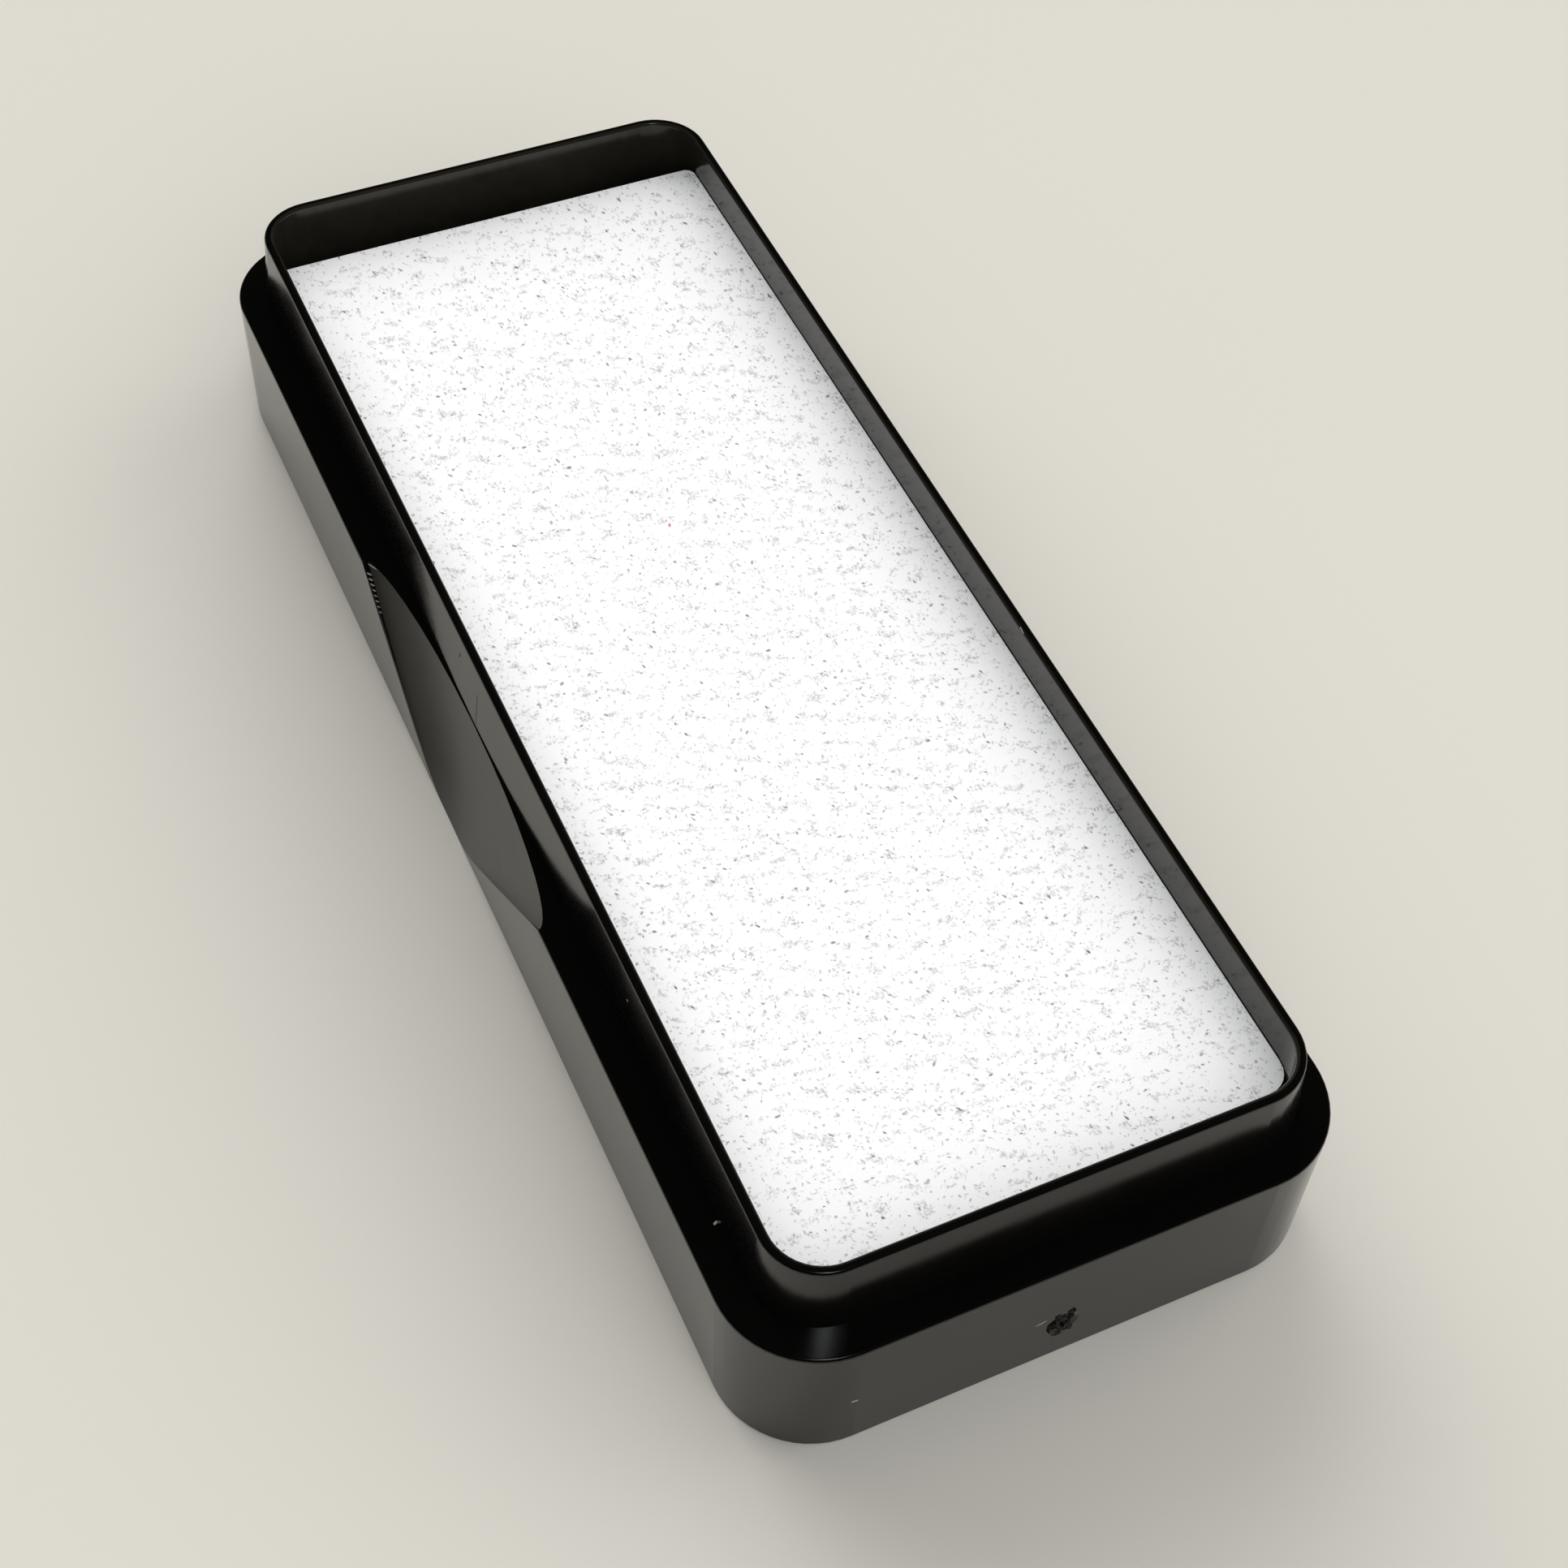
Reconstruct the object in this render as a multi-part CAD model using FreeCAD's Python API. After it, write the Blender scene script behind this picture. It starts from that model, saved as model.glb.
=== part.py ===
import FreeCAD, Part

import math
import os

from FreeCAD import Vector

# A small wet palette: a moulded plastic tray with a stepped rim, a sponge that fills its well,
# and a sheet of palette paper on the sponge. All sizes are in millimetres.
# X runs across the width, Y along the length and +Z up, from the table under the middle of the tray.
# The thumb scallop is on the -X side, and the moulding gate is on the -Y end.

# Skirt: the outer wall, from the table up to the shoulder
SKIRT_LENGTH = 204.0
SKIRT_WIDTH = 80.0
SKIRT_CORNER_RADIUS = 12.8
SKIRT_HEIGHT = 22.4
SKIRT_LEAN = 0.3
SKIRT_WALL = 1.8
SKIRT_FOOT_ROUND = 0.4

# Shoulder: the level ledge that carries the lid's edge
SHOULDER_WIDTH = 4.2
SHOULDER_THICKNESS = 1.8
SHOULDER_ROUND = 0.45

# Rim: the upstand inside the shoulder, which the lid goes over
RIM_HEIGHT = 11.0
RIM_LEAN = 0.8
RIM_TOP_WIDTH = 1.3
RIM_TOP_FLAT = 0.4

# Well: the hollow for sponge and water
WELL_LEAN = 0.4
WELL_WALL = 1.6
FLOOR_THICKNESS = 2.0
FLOOR_LIFT = 0.8

# Ribs that tie the skirt to the wall of the well, seen only from below
RIB_THICKNESS = 1.2
RIB_PITCH = 27.0

# Thumb scallop: a conical scoop out of the skirt and the shoulder, its foot shifted towards +Y
SCALLOP_LENGTH = 68.0
SCALLOP_FOOT_LENGTH = 13.0
SCALLOP_FOOT_SHIFT = 3.0
SCALLOP_LEDGE = 0.1
SCALLOP_FOOT_DEPTH = 0.3
SCALLOP_WALL = 1.5

# Gate scar: the shallow pit where the sprue was broken off
GATE_WIDTH = 4.4
GATE_PIT_DEPTH = 0.45
GATE_HEIGHT = 8.0

# Sheet of palette paper
SHEET_DEPTH = 5.9
SHEET_THICKNESS = 0.2
SHEET_SIDE_GAP = 0.12
SHEET_NEAR_GAP = 2.5
SHEET_FAR_GAP = 5.6
SHEET_NEAR_CORNER_TIGHTER = 3.1
SHEET_FAR_CORNER_RADIUS = 1.5

# Sponge under the sheet
SPONGE_MARGIN = 0.7
SPONGE_CORNER_TIGHTER = 1.2
SPONGE_EDGE_ROUND = 1.2

# How far a cutting solid runs past the face that it opens
OVERSHOOT = 1.0

# Sizes that follow. An inset is measured inwards from the skirt's outline at the shoulder,
# and a corner called tighter is tighter than the well's by the amount above.
RIM_TOP = SKIRT_HEIGHT + RIM_HEIGHT
FLOOR_TOP = FLOOR_LIFT + FLOOR_THICKNESS
RIM_ROUND = (RIM_TOP_WIDTH - RIM_TOP_FLAT) / 2
WELL_MOUTH_INSET = SHOULDER_WIDTH + RIM_LEAN + RIM_TOP_WIDTH
CHANNEL_TOP = SKIRT_HEIGHT - SHOULDER_THICKNESS
SCALLOP_DEPTH = SHOULDER_WIDTH - SCALLOP_LEDGE
SHEET_TOP = RIM_TOP - SHEET_DEPTH
SHEET_BOTTOM = SHEET_TOP - SHEET_THICKNESS


def rounded_rectangle(x_low, x_high, y_low, y_high, near_radius, far_radius, z):
    """A level wire of four lines and four corner arcs, of one radius at the -Y end and one at the +Y end."""
    edges = []
    corners = [
        (x_high - near_radius, y_low + near_radius, near_radius, -90),
        (x_high - far_radius, y_high - far_radius, far_radius, 0),
        (x_low + far_radius, y_high - far_radius, far_radius, 90),
        (x_low + near_radius, y_low + near_radius, near_radius, 180),
    ]

    def on_corner(corner, degrees):
        x, y, radius, start = corner
        angle = math.radians(start + degrees)
        return Vector(x + radius * math.cos(angle), y + radius * math.sin(angle), z)

    for corner, following in zip(corners, corners[1:] + corners[:1]):
        edges.append(Part.Arc(*[on_corner(corner, turn) for turn in (0, 45, 90)]).toShape())
        edges.append(Part.LineSegment(on_corner(corner, 90), on_corner(following, 0)).toShape())
    return Part.Wire(edges)


def outline(inset, z):
    """The tray's plan outline at a height, drawn in evenly from the skirt's edge at the shoulder."""
    half_width = SKIRT_WIDTH / 2 - inset
    half_length = SKIRT_LENGTH / 2 - inset
    radius = SKIRT_CORNER_RADIUS - inset
    return rounded_rectangle(-half_width, half_width, -half_length, half_length, radius, radius, z)


def between(lower, upper):
    """A solid with straight sides from one level wire to another."""
    return Part.makeLoft([lower, upper], True, True)


def level_edges(solid, z):
    """The edges of a solid that lie in the level plane at z."""
    return [e for e in solid.Edges if abs(e.BoundBox.ZMin - z) < 1e-6 and abs(e.BoundBox.ZMax - z) < 1e-6]


def well_inset(z):
    """Inset of the well's wall, which leans in from the mouth to the floor."""
    return WELL_MOUTH_INSET + WELL_LEAN * (RIM_TOP - z) / (RIM_TOP - FLOOR_TOP)


def skirt_inset(z):
    """Inset of the skirt's outer face, which leans in from the shoulder to the table."""
    return SKIRT_LEAN * (SKIRT_HEIGHT - z) / SKIRT_HEIGHT


def make_skirt():
    """The outer body as a filled block, its top and foot edges rounded."""
    block = between(outline(SKIRT_LEAN, 0), outline(0, SKIRT_HEIGHT))
    block = block.makeFillet(SHOULDER_ROUND, level_edges(block, SKIRT_HEIGHT))
    return block.makeFillet(SKIRT_FOOT_ROUND, level_edges(block, 0))


def make_rim():
    """The upstand as a filled block, let into the skirt by the shoulder's thickness."""
    lean_per_mm = RIM_LEAN / RIM_HEIGHT
    root_inset = SHOULDER_WIDTH - lean_per_mm * SHOULDER_THICKNESS
    return between(outline(root_inset, CHANNEL_TOP), outline(SHOULDER_WIDTH + RIM_LEAN, RIM_TOP))


def make_well():
    """The hollow, open at the top."""
    mouth = RIM_TOP + OVERSHOOT
    return between(outline(well_inset(FLOOR_TOP), FLOOR_TOP), outline(well_inset(mouth), mouth))


def scallop_cone(wall):
    """The scoop as half an elliptical cone about the skirt's face, grown by a wall thickness."""
    skirt_face = -SKIRT_WIDTH / 2

    def section(z):
        rise = z / SKIRT_HEIGHT
        half_length = (SCALLOP_FOOT_LENGTH + (SCALLOP_LENGTH - SCALLOP_FOOT_LENGTH) * rise) / 2 + wall
        depth = SCALLOP_FOOT_DEPTH + (SCALLOP_DEPTH - SCALLOP_FOOT_DEPTH) * rise + wall
        middle = SCALLOP_FOOT_SHIFT * (1 - rise)
        centre = Vector(skirt_face, middle, z)
        end = Vector(skirt_face, middle + half_length, z)
        deepest = Vector(skirt_face + depth, middle, z)
        return Part.Wire([Part.Ellipse(end, deepest, centre).toShape()])

    return between(section(-OVERSHOOT), section(SKIRT_HEIGHT))


def rib_places(run):
    """Rib positions along a straight run, evenly spaced about its middle."""
    steps = int(run / 2 // RIB_PITCH)
    return [RIB_PITCH * step for step in range(-steps, steps + 1)]


def make_ribs():
    """Plates across the channel on all four sides."""
    straight_width = SKIRT_WIDTH - 2 * SKIRT_CORNER_RADIUS
    straight_length = SKIRT_LENGTH - 2 * SKIRT_CORNER_RADIUS
    ribs = []
    for y in rib_places(straight_length):
        corner = Vector(-SKIRT_WIDTH / 2, y - RIB_THICKNESS / 2, -OVERSHOOT)
        ribs.append(Part.makeBox(SKIRT_WIDTH, RIB_THICKNESS, SKIRT_HEIGHT, corner))
    for x in rib_places(straight_width):
        corner = Vector(x - RIB_THICKNESS / 2, -SKIRT_LENGTH / 2, -OVERSHOOT)
        ribs.append(Part.makeBox(RIB_THICKNESS, SKIRT_LENGTH, SKIRT_HEIGHT, corner))
    return ribs


def make_channel():
    """The hollow between the skirt and the wall of the well, open below and crossed by ribs."""

    def ring_wire(inset_at, z):
        return outline(inset_at(z), z)

    def outer(z):
        return skirt_inset(z) + SKIRT_WALL

    def inner(z):
        return well_inset(z) - WELL_WALL

    ring = between(ring_wire(outer, -OVERSHOOT), ring_wire(outer, CHANNEL_TOP))
    ring = ring.cut(between(ring_wire(inner, -OVERSHOOT), ring_wire(inner, CHANNEL_TOP)))
    return ring.cut([*make_ribs(), scallop_cone(SCALLOP_WALL)])


def make_floor_recess():
    """The shallow recess under the floor, which keeps the tray from rocking."""
    return between(outline(well_inset(-OVERSHOOT), -OVERSHOOT), outline(well_inset(FLOOR_LIFT), FLOOR_LIFT))


def make_gate_pit():
    """A lens-shaped pit in the middle of the near end."""
    pit_radius = (GATE_WIDTH**2 / 4 + GATE_PIT_DEPTH**2) / (2 * GATE_PIT_DEPTH)
    end_face = -SKIRT_LENGTH / 2 + skirt_inset(GATE_HEIGHT)
    return Part.makeSphere(pit_radius, Vector(0, end_face + GATE_PIT_DEPTH - pit_radius, GATE_HEIGHT))


def make_tray():
    """The whole moulding: skirt, shoulder, rim, well and floor in one piece."""
    body = make_skirt().fuse(make_rim())
    body = body.cut([make_well(), make_channel(), make_floor_recess(), scallop_cone(0), make_gate_pit()])
    body = body.removeSplitter()
    return body.makeFillet(RIM_ROUND, level_edges(body, RIM_TOP))


def well_corner_radius(z):
    """Radius of the well's upright corners at a height."""
    return SKIRT_CORNER_RADIUS - well_inset(z)


def laid_in_well(well_level, margin, near_radius, far_radius, bottom, top):
    """An upright-sided slab within the well, set off from the well's outline at one level."""
    half_width = SKIRT_WIDTH / 2 - well_inset(well_level) - SHEET_SIDE_GAP - margin
    wall_y = SKIRT_LENGTH / 2 - well_inset(well_level)
    near = -wall_y + SHEET_NEAR_GAP + margin
    far = wall_y - SHEET_FAR_GAP - margin
    lower = rounded_rectangle(-half_width, half_width, near, far, near_radius, far_radius, bottom)
    upper = rounded_rectangle(-half_width, half_width, near, far, near_radius, far_radius, top)
    return between(lower, upper)


def make_paper():
    """One sheet of palette paper, lying flat."""
    near_radius = well_corner_radius(SHEET_TOP) - SHEET_NEAR_CORNER_TIGHTER
    return laid_in_well(SHEET_TOP, 0, near_radius, SHEET_FAR_CORNER_RADIUS, SHEET_BOTTOM, SHEET_TOP)


def make_sponge():
    """The foam block that fills the well from its floor up to the sheet."""
    radius = well_corner_radius(FLOOR_TOP) - SPONGE_CORNER_TIGHTER
    block = laid_in_well(FLOOR_TOP, SPONGE_MARGIN, radius, radius, FLOOR_TOP, SHEET_BOTTOM)
    return block.makeFillet(SPONGE_EDGE_ROUND, level_edges(block, FLOOR_TOP))


def main():
    os.makedirs("parts", exist_ok=True)
    pieces = {"tray": make_tray(), "sponge": make_sponge(), "palette_paper": make_paper()}
    for name, shape in pieces.items():
        print(name, "valid", shape.isValid(), "solids", len(shape.Solids), "volume", round(shape.Volume, 1))
        shape.exportStep(f"parts/{name}.step")


main()
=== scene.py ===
import math
import random

import bmesh
import bpy
from mathutils import Matrix, Vector, kdtree, noise


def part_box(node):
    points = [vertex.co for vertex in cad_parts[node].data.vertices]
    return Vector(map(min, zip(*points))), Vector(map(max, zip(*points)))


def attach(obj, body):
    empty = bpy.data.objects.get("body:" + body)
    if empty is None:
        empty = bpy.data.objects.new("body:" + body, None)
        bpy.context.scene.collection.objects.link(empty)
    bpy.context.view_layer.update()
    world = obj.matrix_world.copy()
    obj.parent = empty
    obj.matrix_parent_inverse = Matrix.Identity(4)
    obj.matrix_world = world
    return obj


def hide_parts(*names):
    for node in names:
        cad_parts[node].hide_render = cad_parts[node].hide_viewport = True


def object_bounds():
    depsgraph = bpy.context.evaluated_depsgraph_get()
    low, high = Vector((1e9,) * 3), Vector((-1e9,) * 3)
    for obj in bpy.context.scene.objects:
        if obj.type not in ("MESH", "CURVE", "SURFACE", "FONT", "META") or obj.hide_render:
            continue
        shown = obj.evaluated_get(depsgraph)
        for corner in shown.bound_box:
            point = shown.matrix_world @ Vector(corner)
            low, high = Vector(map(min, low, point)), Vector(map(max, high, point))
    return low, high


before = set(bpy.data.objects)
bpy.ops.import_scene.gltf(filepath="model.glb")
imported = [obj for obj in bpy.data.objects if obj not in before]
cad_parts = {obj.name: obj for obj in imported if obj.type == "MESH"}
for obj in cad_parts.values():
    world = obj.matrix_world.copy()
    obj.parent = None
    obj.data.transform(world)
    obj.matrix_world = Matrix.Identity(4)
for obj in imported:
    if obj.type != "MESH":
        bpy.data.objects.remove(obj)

cad_low, cad_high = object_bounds()


# Tray. One black injection moulding in hard glossy plastic: skirt, shoulder, rim and well in one piece.
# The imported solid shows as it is. Its gloss rolls slowly over the thin walls, and use has left it with
# handling marks, hair scratches, grit, a few scuffs and a faint film of dried water on the inner walls.

MM = 0.001

BLACK_PLASTIC = (0.0024, 0.0023, 0.0021, 1)
FILMED_PLASTIC = (0.0165, 0.0155, 0.0120, 1)
# Pale dust and grit, and also the colour of the painted highlights on the burrs and on one rim-top scratch
PALE_DUST_AND_GLINT = (0.34, 0.32, 0.29, 1)
GLOSS_TINT = (1.0, 0.955, 0.88, 1)
PLASTIC_IOR = 1.5
# Roughness of the clean gloss, and what each kind of wear adds to it
GLOSS_ROUGH = 0.135
HANDLED_ROUGH = 0.04
SCRATCH_ROUGH = 0.04
DUST_ROUGH = 0.6
CUT_ROUGH = 0.42
SCUFF_ROUGH = 0.3
SCUFF_DEPTH = 0.18 * MM
WALL_WAVE_SIZE = 24 * MM
WALL_WAVE_DEPTH = 0.10 * MM
HANDLED_SIZE = 16 * MM
HANDLED_FROM, HANDLED_FULL = 0.42, 0.72
SCRATCH_WIDTH = 0.16 * MM
SCRATCH_STRETCH = (80, 1, 1)
SCRATCH_TURN = 0.9
SCRATCH_FROM, SCRATCH_FULL = 0.73, 0.80
DUST_SPACING = 2.4 * MM
DUST_RADIUS = 0.11 * MM
DUST_SHARE = 0.05
DUST_STRENGTH = 0.35
# How far a face must look up before it holds scratches and dust, and where it holds all of them
LEVEL_FROM, LEVEL_FULL = 0.6, 0.9
# The film is full where a wall faces the middle from this far away, and thinner in blotches
FILM_REACH = 20 * MM
FILM_BLOTCHES = 0.3
# Share of a speck or a stroke that is solid, before it fades towards its edge
SPECK_CORE = 0.6
STROKE_CORE = 0.5
# Grit and bruises that show pale, and a painted highlight on the right rim top where a scratch catches the
# light: both ends and the half width of each, in millimetres
GRIT_AND_GLINT_MARKS = [
    ((-36.1, -80.4, 22.4), (-35.8, -80.25, 22.4), 0.20),
    ((-27.8, -101.85, 10.1), (-27.3, -101.85, 10.15), 0.22),
    ((33.8, -93.1, 22.4), (34.0, -93.0, 22.4), 0.22),
    ((-35.4, -52.0, 29.0), (-35.4, -52.2, 29.0), 0.18),
    # This last one is a painted highlight: a scratch on the rim top that catches the light
    ((33.83, -20.3, 33.28), (33.76, -21.3, 33.18), 0.09),
]
# Scuffs and scratches on the rim, and the sharp edge of the thumb scallop, that show dark
DARK_MARKS = [
    ((-35.18, 22.3, 30.9), (-35.22, 20.7, 30.4), 0.24),
    ((-35.28, 20.0, 29.5), (-35.30, 18.4, 29.2), 0.28),
    ((-35.54, 16.4, 26.0), (-35.68, 15.1, 24.1), 0.34),
    ((-35.29, 6.3, 29.4), (-35.23, 5.8, 30.4), 0.17),
    ((-35.33, -0.6, 29.0), (-35.72, -0.3, 23.3), 0.13),
    ((-39.97, 31.5, 20.0), (-39.72, 10.7, 0.9), 0.30),
]
# The tool left the far end of the thumb scallop dull: along a line down it, and only on faces that lean
DULL_LINE = (-38.0, 33.0, 22.0), (-39.8, 16.0, 6.0)
DULL_FULL, DULL_GONE = 1 * MM, 25 * MM
DULL_LEAN_FROM, DULL_LEAN_FULL = 0.09, 0.14
DULL_LEVEL_FULL, DULL_LEVEL_GONE = 0.4, 0.6


def wire(tree, kind, feeds=None, **settings):
    """Adds a shader node, sets it up and plugs a socket or a plain value into each named input."""
    made = tree.nodes.new("ShaderNode" + kind)
    for setting, value in settings.items():
        setattr(made, setting, value)
    for name, value in (feeds or {}).items():
        if isinstance(value, bpy.types.NodeSocket):
            tree.links.new(value, made.inputs[name])
        else:
            made.inputs[name].default_value = value
    return made


def maths(tree, operation, *values):
    """One sum on numbers or sockets."""
    return wire(tree, "Math", dict(enumerate(values)), operation=operation).outputs[0]


def vectors(tree, operation, *values):
    """One sum on vectors or their sockets that gives a vector."""
    return wire(tree, "VectorMath", dict(enumerate(values)), operation=operation).outputs["Vector"]


def measure(tree, operation, *values):
    """One sum on vectors or their sockets that gives a number."""
    return wire(tree, "VectorMath", dict(enumerate(values)), operation=operation).outputs["Value"]


def soft_step(tree, value, start, end):
    """0 at start and 1 at end, with a soft step between them, whichever is larger."""
    limits = {"Value": value, "From Min": start, "From Max": end}
    return wire(tree, "MapRange", limits, interpolation_type="SMOOTHSTEP").outputs["Result"]


def tint(tree, share, first, second):
    """One colour turning into another by a share from 0 to 1."""
    return wire(tree, "Mix", {0: share, 6: first, 7: second}, data_type="RGBA").outputs[2]


def cloud(tree, place, size, detail=2.0, rough=0.5, stretch=(1, 1, 1)):
    """Soft noise whose blotches are about the given size, in metres, longer where stretch is more than 1."""
    fitted = vectors(tree, "MULTIPLY", place, tuple(1 / (size * s) for s in stretch))
    feeds = {"Vector": fitted, "Scale": 1.0, "Detail": detail, "Roughness": rough}
    return wire(tree, "TexNoise", feeds).outputs["Fac"]


def relief(tree, height, depth, under=None):
    """Surface relief of a given depth in metres, laid over an earlier relief if there is one."""
    feeds = {"Height": height, "Distance": depth, "Strength": 1.0}
    if under is not None:
        feeds["Normal"] = under
    return wire(tree, "Bump", feeds).outputs["Normal"]


def new_finish(name):
    """A fresh material, with its node tree and its shader."""
    finish = bpy.data.materials.new(name)
    finish.use_nodes = True
    return finish, finish.node_tree, finish.node_tree.nodes["Principled BSDF"]


def plug(tree, socket, value):
    """Feeds one input of a shader from a node."""
    tree.links.new(value, socket)


def speckle(tree, place, spacing, radius, share):
    """A mask of small round specks, one in each cell of the spacing, on a share of the cells."""
    cells = wire(tree, "TexVoronoi", {"Vector": place, "Scale": 1 / spacing}, voronoi_dimensions="3D")
    chance = wire(tree, "SeparateColor", {"Color": cells.outputs["Color"]}).outputs[0]
    reach = maths(tree, "MULTIPLY", cells.outputs["Distance"], spacing)
    dot = soft_step(tree, reach, radius, radius * SPECK_CORE)
    return maths(tree, "MULTIPLY", dot, maths(tree, "LESS_THAN", chance, share))


def reach_from(tree, place, start, end):
    """Distance in metres from a straight line between two points given in millimetres."""
    start, run = Vector(start) * MM, (Vector(end) - Vector(start)) * MM
    offset = vectors(tree, "SUBTRACT", place, start)
    share = measure(tree, "DOT_PRODUCT", offset, run / run.length_squared)
    share = wire(tree, "Clamp", {"Value": share}).outputs[0]
    nearest = wire(tree, "VectorMath", {0: run, "Scale": share}, operation="SCALE").outputs["Vector"]
    return measure(tree, "DISTANCE", offset, nearest)


def strokes(tree, place, marks):
    """A mask of short straight marks, each given by its two ends and its half width in millimetres."""
    mask = None
    for start, end, half_width in marks:
        reach = reach_from(tree, place, start, end)
        mark = soft_step(tree, reach, half_width * MM, half_width * STROKE_CORE * MM)
        mask = mark if mask is None else maths(tree, "MAXIMUM", mask, mark)
    return mask


def black_gloss(name, dull=0.0, painted_glint=0.0):
    """Hard black moulded plastic. More dull makes it rougher, and the last setting is how far it is painted
    pale, a painted highlight for burrs that glint.
    """
    finish, tree, shader = new_finish(name)
    place = wire(tree, "TexCoord").outputs["Object"]
    normal = wire(tree, "NewGeometry").outputs["Normal"]
    facing = wire(tree, "SeparateXYZ", {"Vector": normal}).outputs["Z"]
    looks_up = soft_step(tree, facing, LEVEL_FROM, LEVEL_FULL)

    handled = cloud(tree, place, HANDLED_SIZE, detail=5.0, rough=0.6)
    handled = soft_step(tree, handled, HANDLED_FROM, HANDLED_FULL)
    turn = {"Vector": place, "Angle": SCRATCH_TURN}
    turned = wire(tree, "VectorRotate", turn, rotation_type="Z_AXIS").outputs[0]
    scratch = cloud(tree, turned, SCRATCH_WIDTH, stretch=SCRATCH_STRETCH)
    scratch = maths(tree, "MULTIPLY", soft_step(tree, scratch, SCRATCH_FROM, SCRATCH_FULL), looks_up)
    dust_and_glint = maths(tree, "MULTIPLY", speckle(tree, place, DUST_SPACING, DUST_RADIUS, DUST_SHARE), looks_up)
    # Dust and grit show pale, and the glints of burrs and of one rim-top scratch are painted pale as painted
    # highlights
    dust_and_glint = maths(tree, "MULTIPLY_ADD", dust_and_glint, DUST_STRENGTH, painted_glint)
    dust_and_glint = maths(tree, "MAXIMUM", dust_and_glint, strokes(tree, place, GRIT_AND_GLINT_MARKS))
    scuff = strokes(tree, place, DARK_MARKS)
    cut = soft_step(tree, reach_from(tree, place, *DULL_LINE), DULL_GONE, DULL_FULL)
    cut = maths(tree, "MULTIPLY", cut, soft_step(tree, facing, DULL_LEAN_FROM, DULL_LEAN_FULL))
    cut = maths(tree, "MULTIPLY", cut, soft_step(tree, facing, DULL_LEVEL_GONE, DULL_LEVEL_FULL))

    level_place = vectors(tree, "MULTIPLY", place, (1, 1, 0))
    inwards = soft_step(tree, measure(tree, "DOT_PRODUCT", level_place, normal), 0, -FILM_REACH)
    film = maths(tree, "MULTIPLY_ADD", handled, FILM_BLOTCHES, 1 - FILM_BLOTCHES)
    black = tint(tree, maths(tree, "MULTIPLY", inwards, film), BLACK_PLASTIC, FILMED_PLASTIC)
    plug(tree, shader.inputs["Base Color"], tint(tree, dust_and_glint, black, PALE_DUST_AND_GLINT))

    rough = GLOSS_ROUGH + dull
    wear = [
        (handled, HANDLED_ROUGH),
        (scratch, SCRATCH_ROUGH),
        (dust_and_glint, DUST_ROUGH),
        (cut, CUT_ROUGH),
        (scuff, SCUFF_ROUGH),
    ]
    for mask, added in wear:
        rough = maths(tree, "MULTIPLY_ADD", mask, added, rough)
    plug(tree, shader.inputs["Roughness"], rough)

    wavy = relief(tree, cloud(tree, place, WALL_WAVE_SIZE, detail=1.0), WALL_WAVE_DEPTH)
    plug(tree, shader.inputs["Normal"], relief(tree, scuff, -SCUFF_DEPTH, under=wavy))
    shader.inputs["IOR"].default_value = PLASTIC_IOR
    shader.inputs["Specular Tint"].default_value = GLOSS_TINT
    return finish


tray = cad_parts["tray"]
tray_low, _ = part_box("tray")
tray.material_slots[0].material = black_gloss("black_moulded_plastic")


# Gate scar. The torn stub left on the near end of the tray where it was broken off its runner.
# It is the tray's own plastic, dull and chipped, and stands a little proud of the shallow gate pit.

SCAR_HEIGHT = 8.0 * MM
SCAR_HALF_WIDTH = 2.2 * MM
SCAR_HALF_LENGTH = 3.5 * MM
SCAR_STEP = 0.13 * MM
SCAR_SEED = 8
SCAR_CHIPS = 30
SCAR_CHIP_HEIGHTS = (-0.30 * MM, 0.42 * MM)
SCAR_CHIP_TILT = 0.35
SCAR_CHIP_LEAN = 0.66
SCAR_GRAIN = 0.10 * MM
SCAR_GRAIN_SIZE = 0.4 * MM
SCAR_GRAIN_LAYER = 4
# Its ragged outline, as a share of the full oval, and the drop towards it
SCAR_OUTLINE, SCAR_RAGGED = 0.86, 0.3
SCAR_RAG_SIZE = 1.1 * MM
SCAR_EDGE_BAND = 0.25
SCAR_EDGE_DROP = 0.5 * MM
SCAR_ROOT = 0.9 * MM
SCAR_DULL = 0.2


def link_mesh(name, mesh):
    """Turns finished mesh code into an object in the scene."""
    data = bpy.data.meshes.new(name)
    mesh.to_mesh(data)
    mesh.free()
    made = bpy.data.objects.new(name, data)
    bpy.context.scene.collection.objects.link(made)
    return made


def on_tray(start, towards):
    """Where a straight line from outside first meets the tray, and which way the tray faces there."""
    bpy.context.view_layer.update()
    _, place, facing, _ = tray.ray_cast(Vector(start), Vector(towards))
    return place, facing


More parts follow.
